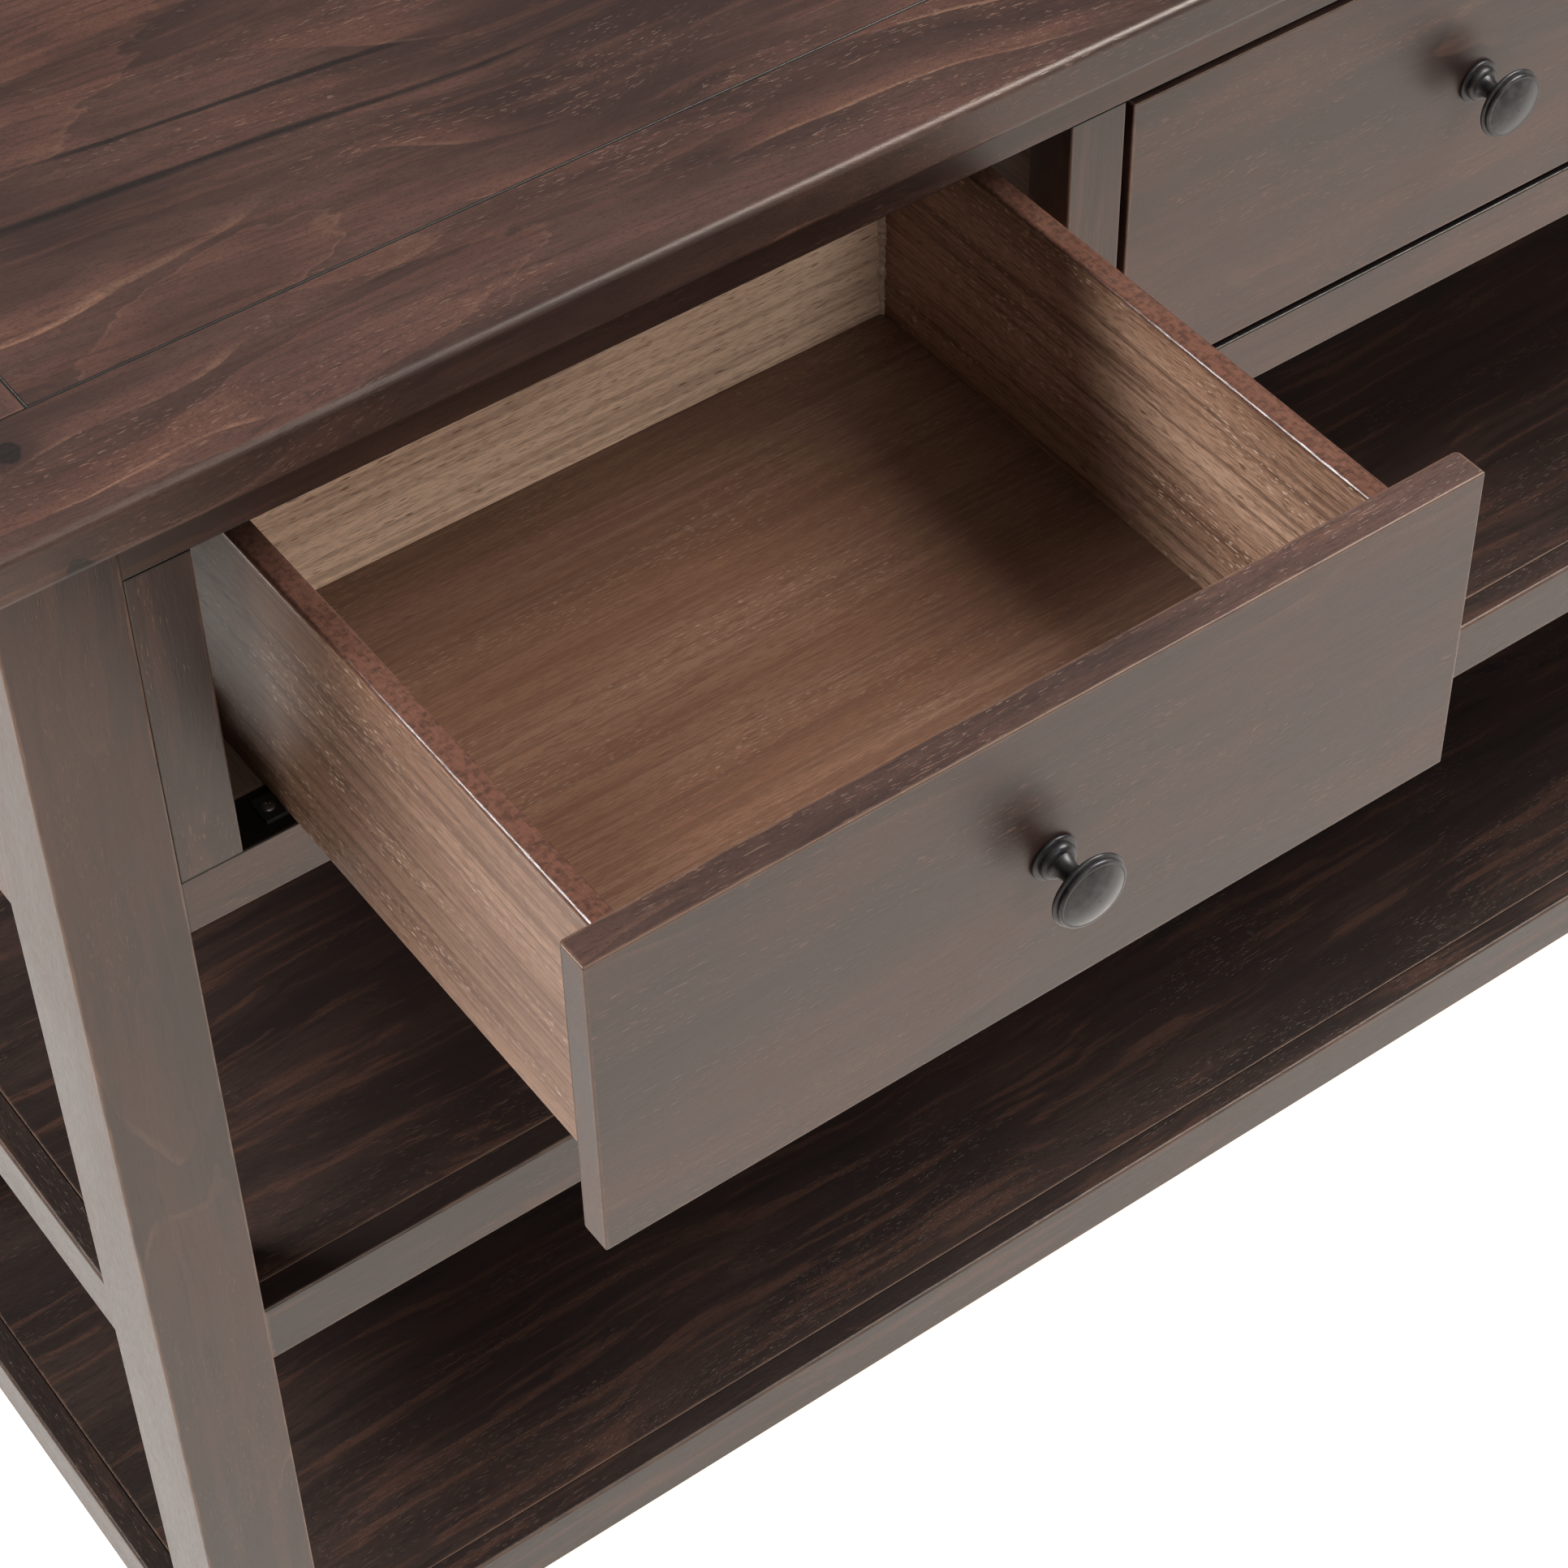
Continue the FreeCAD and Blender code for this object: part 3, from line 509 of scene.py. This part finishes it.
WORKTOP_HEIGHT = 0.914
SEAM_FRONT = ((0, 1, 0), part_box("top_front_board")[1].y)
SEAM_BACK = ((0, 1, 0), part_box("top_back_board")[0].y)
SEAM_LEFT = ((1, 0, 0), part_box("top_left_end_board")[1].x)
SEAM_RIGHT = ((1, 0, 0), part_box("top_right_end_board")[0].x)
MINERAL_STREAKS = [((-0.66, -0.071, WORKTOP_HEIGHT), (-0.36, -0.099, WORKTOP_HEIGHT), 0.0035),
                   ((-0.60, -0.049, WORKTOP_HEIGHT), (-0.42, -0.066, WORKTOP_HEIGHT), 0.002)]
FIELD_TONGUES = [((-0.610, 0.010, WORKTOP_HEIGHT), (1 / 0.115, 1 / 0.050, 0), -0.25),
                 ((-0.572, -0.152, WORKTOP_HEIGHT), (1 / 0.062, 1 / 0.020, 0), -0.20),
                 ((-0.480, 0.060, WORKTOP_HEIGHT), (1 / 0.160, 1 / 0.045, 0), -0.10)]
FRONT_TONGUES = [((-0.452, -0.172, WORKTOP_HEIGHT), (1 / 0.085, 1 / 0.011, 0), 0.08),
                 ((-0.560, -0.205, WORKTOP_HEIGHT), (1 / 0.090, 1 / 0.016, 0), -0.15)]
EDGE_KNOTS = [((-0.599, -0.227, 0.885), 0.0050), ((-0.668, -0.227, 0.895), 0.0060)]
FRONT_KNOT = ((-0.667, -0.181, WORKTOP_HEIGHT), 0.0060)

paint("top_field_panel", walnut_pine(
    "top_field_panel", "x", pith=(0.02, -0.05), ring=0.034, sway=1.3, skew=0.09, shift=0.2,
    figure=0.8, flame=0.14, streaky=0.18, red=0.22, tongues=FIELD_TONGUES,
    streaks=MINERAL_STREAKS,
    seams=[SEAM_FRONT, SEAM_BACK, SEAM_LEFT, SEAM_RIGHT], rubbed=0.0))
paint("top_front_board", walnut_pine(
    "top_front_board", "x", pith=(0.03, -0.07), ring=0.030, shift=2.0, skew=0.06, figure=0.7,
    flame=0.12, streaky=0.15, red=0.22, tongues=FRONT_TONGUES, knots=[FRONT_KNOT, *EDGE_KNOTS],
    seams=[SEAM_FRONT], rubbed=0.12))
paint("top_back_board", walnut_pine("top_back_board", "x", pith=(-0.02, -0.06), ring=0.03,
                                    shift=4.4, figure=0.6, seams=[SEAM_BACK], rubbed=0.15))
paint("top_left_end_board", walnut_pine("top_left_end_board", "y", pith=(0.01, -0.05), ring=0.02,
                                        shift=6.1, seams=[SEAM_LEFT], rubbed=0.15))
paint("top_right_end_board", walnut_pine("top_right_end_board", "y", pith=(0.02, -0.06),
                                         ring=0.02, shift=8.3, seams=[SEAM_RIGHT], rubbed=0.15))


# ---------------------------------------------------------------- drawer fronts
# Each front is a plain slab of pine that laps past its box at both ends. The clouds of stain
# are soft here, and the corners are rubbed through.

for number, bay in enumerate(["left", "centre", "right"]):
    name = f"{bay}_drawer_front"
    paint(name, walnut_pine(name, "x", pith=(0.07, 0.01), ring=0.035, sway=0.8, shift=2.7 * number,
                            figure=0.22, flame=0.14, streaky=0.12, red=0.25, rubbed=0.35))


# ---------------------------------------------------------------- drawer boxes
# Sides and back are of a close-grained, silky wood, and the bottom is a thin board of the
# same. All are lacquered thin. The bottom and the left side are darkened deepest: on the
# bottom this is partly stain and partly painted shade, on the left side it is painted shade.
# The back is stained hardly at all, and its paleness is partly painted light. Bright flecks in
# the grain are a painted sheen. The stain lies darker and redder on the rounded top edges.

BOX_PALE_STAIN_AND_LIGHT = (0.720, 0.500, 0.350)
BOX_SHEEN_FLECK = (0.620, 0.470, 0.360)
BOX_TAN = (0.470, 0.300, 0.205)
BOX_BROWN = (0.290, 0.165, 0.105)
BOX_DEEP_STAIN_AND_SHADE = (0.075, 0.030, 0.016)
BOX_DARK = (0.085, 0.042, 0.027)
BOX_RED = (0.080, 0.034, 0.023)
BOX_EDGE_DARK = (0.024, 0.012, 0.009)
BOX_SPECULAR = 0.3


def box_wood(node, grain, shift=0.0, deep_stain_and_shade=0.0, pale_stain_and_light=0.0, painted_sheen_strength=0.9):
    """Silky box wood. Deep darkens the stain, partly as painted shade; pale thins it, partly as
    painted light; and silk sets the bright flecks, which are a painted sheen.
    """
    wood = Finish("silky " + node.replace("_", " "))
    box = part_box(node)
    spot = wood.grain_place(box, grain, 0.0, shift)
    band = wood.noise(spot, (2.5, 26, 26), detail=3, roughness=0.55)
    line = wood.noise(spot, (7, 300, 300), detail=3, roughness=0.65)
    fibre = wood.noise(spot, (130, 1800, 1800), detail=2, roughness=0.6)
    pore = wood.noise(wood.vector("ADD", spot, (2, 1, 3)), (120, 1300, 1300), detail=1)
    glint = wood.noise(wood.vector("ADD", spot, (4, 2, 1)), (240, 1500, 1500), detail=0)
    gleam = wood.noise(spot, (10, 40, 40), detail=1)
    colour = wood.stain(wood.between(band, 0.3, 0.7), BOX_BROWN, BOX_TAN)
    # The pale share is partly painted light; the deep share is painted shade on the left side and partly
    # painted shade on the bottom.
    colour = wood.stain(pale_stain_and_light, colour, BOX_PALE_STAIN_AND_LIGHT)
    colour = wood.stain(deep_stain_and_shade, colour, BOX_DEEP_STAIN_AND_SHADE)
    colour = wood.stain(wood.between(line, 0.58, 0.34, 0, 0.70 - 0.35 * pale_stain_and_light), colour, BOX_DARK)
    colour = wood.stain(wood.between(fibre, 0.54, 0.34, 0, 0.65 - 0.30 * pale_stain_and_light), colour, BOX_DARK)
    colour = wood.stain(wood.between(pore, 0.62, 0.74, 0, 0.75), colour, BOX_DARK)
    # Bright flecks where the glint and gleam noises meet: a painted sheen, the wood's glint painted into
    # its colour.
    painted_sheen_mask = wood.math("MULTIPLY", wood.between(glint, 0.66, 0.76),
                      wood.between(gleam, 0.48, 0.64, 0.15 * painted_sheen_strength, painted_sheen_strength))
    colour = wood.stain(painted_sheen_mask, colour, BOX_SHEEN_FLECK)
    height = wood.add("SeparateXYZ", Vector=wood.place()).outputs[2]
    under_top = wood.math("SUBTRACT", box[1].z, height)
    under_top = wood.math("ADD", under_top, wood.math("MULTIPLY", line, 0.0012))
    blotch = wood.noise(wood.place(), (450, 450, 450), detail=3)
    edge = wood.stain(wood.between(blotch, 0.35, 0.75, 0, 0.8), BOX_RED, BOX_EDGE_DARK)
    if "bottom" not in node:
        colour = wood.stain(wood.between(under_top, 0.0028, 0.0012, 0, 0.95), colour, edge)
    wood.feed(wood.shader, "Base_Color", colour)
    polish = wood.between(under_top, 0.0050, 0.0030, 0, 0.22)
    wood.feed(wood.shader, "Roughness",
              wood.math("SUBTRACT", wood.between(fibre, 0.3, 0.7, 0.36, 0.50), polish))
    wood.shader.inputs["Specular IOR Level"].default_value = BOX_SPECULAR
    wood.relief([(fibre, 0.5), (line, 0.3), (pore, -0.3)], GRAIN_RELIEF)
    return wood.made


# The left side's deep darkening is painted shade, the bottom's is partly painted shade, and the back's
# paleness is partly painted light.
for number, bay in enumerate(["left", "centre", "right"]):
    drawer = f"{bay}_drawer"
    paint(f"{drawer}_left_side", box_wood(f"{drawer}_left_side", "y", 1.1 + number, deep_stain_and_shade=0.50,
                                          painted_sheen_strength=0.6))
    paint(f"{drawer}_right_side", box_wood(f"{drawer}_right_side", "y", 5.3 + number, deep_stain_and_shade=0.04))
    paint(f"{drawer}_back", box_wood(f"{drawer}_back", "x", 9.2 + number, pale_stain_and_light=0.90, painted_sheen_strength=0.2))
    paint(f"{drawer}_bottom", box_wood(f"{drawer}_bottom", "x", 13.4 + number, deep_stain_and_shade=0.80,
                                       painted_sheen_strength=0.12))


# ---------------------------------------------------------------- glue in the drawer corners
# Glue has squeezed out where the back meets the sides and dried as a ragged pale bead.

BEAD_ROWS = 60
BEAD_LEAST, BEAD_MOST = 0.0012, 0.0036
BEAD_BELOW_TOP = 0.004
BEAD_BULGE = 0.55
GLUE_BROWN = (0.30, 0.185, 0.125)
GLUE_PALE = (0.66, 0.50, 0.38)

glue = Finish("dried glue")
crumbs = glue.noise(glue.place(), (700, 700, 260), detail=3)
glue.feed(glue.shader, "Base_Color", glue.stain(crumbs, GLUE_BROWN, GLUE_PALE))
glue.feed(glue.shader, "Roughness", glue.between(crumbs, 0.3, 0.7, 0.35, 0.6))
glue.relief([(crumbs, 1.0)], 0.0003)

squeeze = random.Random(11)
for bay in ["left", "centre", "right"]:
    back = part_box(f"{bay}_drawer_back")
    bottom_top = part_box(f"{bay}_drawer_bottom")[1].z
    beads = []
    for hand, inward in (("left", 1), ("right", -1)):
        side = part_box(f"{bay}_drawer_{hand}_side")
        corner_x = side[1].x if hand == "left" else side[0].x
        mesh = bmesh.new()
        rows = []
        width = BEAD_LEAST
        for row in range(BEAD_ROWS + 1):
            z = bottom_top + (back[1].z - BEAD_BELOW_TOP - bottom_top) * row / BEAD_ROWS
            width += (squeeze.uniform(BEAD_LEAST, BEAD_MOST) - width) * 0.5
            depth = squeeze.uniform(0.5, 1.0) * width
            section = [(0, 0), (width, 0), (BEAD_BULGE * width, BEAD_BULGE * depth), (0, depth)]
            rows.append([mesh.verts.new((corner_x + inward * out, back[0].y - ahead, z))
                         for out, ahead in section])
        for low, high in zip(rows, rows[1:]):
            for step in range(4):
                mesh.faces.new((low[step], low[(step + 1) % 4], high[(step + 1) % 4], high[step]))
        mesh.faces.new(rows[0])
        mesh.faces.new(rows[-1])
        bmesh.ops.recalc_face_normals(mesh, faces=mesh.faces)
        data = bpy.data.meshes.new("bead")
        mesh.to_mesh(data)
        mesh.free()
        data.materials.append(glue.made)
        bead = bpy.data.objects.new(f"{bay}_drawer_{hand}_glue_bead", data)
        scene.collection.objects.link(bead)
        beads.append(bead)
    as_one(f"{bay}_drawer_glue", beads, f"{bay}_drawer")


# ---------------------------------------------------------------- knobs
# Cast zinc, turned and plated a dark pewter, with a satin lacquer. A screw through the front
# pulls each knob tight.

PEWTER_DARK = (0.022, 0.020, 0.021)
PEWTER_LIGHT = (0.040, 0.038, 0.037)
PEWTER_METALLIC = 0.45
PEWTER_SPECULAR = 0.3

pewter = Finish("dark pewter")
mottle = pewter.noise(pewter.place(), (260, 260, 260), detail=3)
pits = pewter.noise(pewter.place(), (1400, 1400, 1400), detail=2)
pewter.feed(pewter.shader, "Base_Color", pewter.stain(pewter.between(mottle, 0.3, 0.7),
                                                      PEWTER_DARK, PEWTER_LIGHT))
pewter.feed(pewter.shader, "Roughness", pewter.between(mottle, 0.3, 0.7, 0.32, 0.40))
pewter.shader.inputs["Metallic"].default_value = PEWTER_METALLIC
pewter.shader.inputs["Specular IOR Level"].default_value = PEWTER_SPECULAR
pewter.relief([(pits, 0.6), (mottle, 0.6)], 0.00005)
for bay in ["left", "centre", "right"]:
    paint(f"{bay}_drawer_knob", pewter.made)
    paint(f"{bay}_drawer_knob_screw", zinc.made)


# ---------------------------------------------------------------- the studio
# A pale floor that glows a little, so it comes out white; one soft light from the left and a
# little behind and one from the right and in front; two faint suns, from the front and from
# overhead; and a camera that looks down over the left front corner.

FLOOR_SIZE = 60.0
FLOOR_DARKEST = (0.60, 0.59, 0.58)
FLOOR_PALEST = (0.64, 0.63, 0.62)
FLOOR_ROUGHNESS = 0.9
FLOOR_GLOW = (1.0, 0.91, 0.82, 1)
FLOOR_GLOW_STRENGTH = 1.05
bpy.ops.mesh.primitive_plane_add(size=FLOOR_SIZE, location=(0, 0, cad_box[0].z))
floor = bpy.context.object
floor.name = "studio_floor"
paper = Finish("studio paper")
tone = paper.noise(paper.place(), (3, 3, 3))
paper.feed(paper.shader, "Base_Color", paper.stain(tone, FLOOR_DARKEST, FLOOR_PALEST))
paper.shader.inputs["Roughness"].default_value = FLOOR_ROUGHNESS
paper.shader.inputs["Emission Color"].default_value = FLOOR_GLOW
paper.shader.inputs["Emission Strength"].default_value = FLOOR_GLOW_STRENGTH
floor.data.materials.append(paper.made)

LEFT_LIGHT_AT = Vector((-1.58, 0.52, 2.06))
LEFT_LIGHT_AIM = Vector((-0.45, -0.35, 0.80))
LEFT_LIGHT_SIZE = 0.7
LEFT_LIGHT_WATTS = 58.0
RIGHT_LIGHT_AT = Vector((0.98, -0.66, 2.28))
RIGHT_LIGHT_AIM = Vector((-0.42, -0.30, 0.75))
RIGHT_LIGHT_SIZE = 1.0
RIGHT_LIGHT_WATTS = 84.0


def hang(name, lamp, turned_to):
    """Hangs a lamp so that it shines against a direction."""
    holder = bpy.data.objects.new(name, lamp)
    holder.rotation_euler = turned_to.to_track_quat("Z", "Y").to_euler()
    scene.collection.objects.link(holder)
    return holder


for name, place, aim, size, watts in [
        ("left_softbox", LEFT_LIGHT_AT, LEFT_LIGHT_AIM, LEFT_LIGHT_SIZE, LEFT_LIGHT_WATTS),
        ("right_softbox", RIGHT_LIGHT_AT, RIGHT_LIGHT_AIM, RIGHT_LIGHT_SIZE, RIGHT_LIGHT_WATTS)]:
    softbox = bpy.data.lights.new(name, "AREA")
    softbox.energy = watts
    softbox.size = size
    hang(name, softbox, place - aim).location = place

for name, toward, strength, spread in [("front_light", (0.1, -0.85, 0.55), 1.1, 25),
                                       ("overhead_light", (0.0, -0.25, 1.0), 0.2, 60)]:
    lamp = bpy.data.lights.new(name, "SUN")
    lamp.energy = strength
    lamp.angle = math.radians(spread)
    hang(name, lamp, Vector(toward))

SKY_COLOUR = (0.96, 0.98, 1.0, 1)
SKY_STRENGTH = 0.09
world = bpy.data.worlds.new("studio")
scene.world = world
world.use_nodes = True
sky = world.node_tree.nodes["Background"]
sky.inputs["Color"].default_value = SKY_COLOUR
sky.inputs["Strength"].default_value = SKY_STRENGTH

LENS, SENSOR = 89.77, 36.0
CAMERA_AT = (-1.0209, -1.1427, 1.8031)
HEADING, LOOKING_DOWN, ROLL = map(math.radians, (34.924, 47.003, -1.403))
lens = bpy.data.cameras.new("camera")
lens.lens = LENS
lens.sensor_width = SENSOR
camera = bpy.data.objects.new("camera", lens)
ahead = Vector((math.sin(HEADING) * math.cos(LOOKING_DOWN),
                math.cos(HEADING) * math.cos(LOOKING_DOWN), -math.sin(LOOKING_DOWN)))
camera.matrix_world = (Matrix.Translation(CAMERA_AT)
                       @ ahead.to_track_quat("-Z", "Y").to_matrix().to_4x4()
                       @ Matrix.Rotation(ROLL, 4, "Z"))
scene.collection.objects.link(camera)
scene.camera = camera
scene.view_settings.view_transform = "Standard"
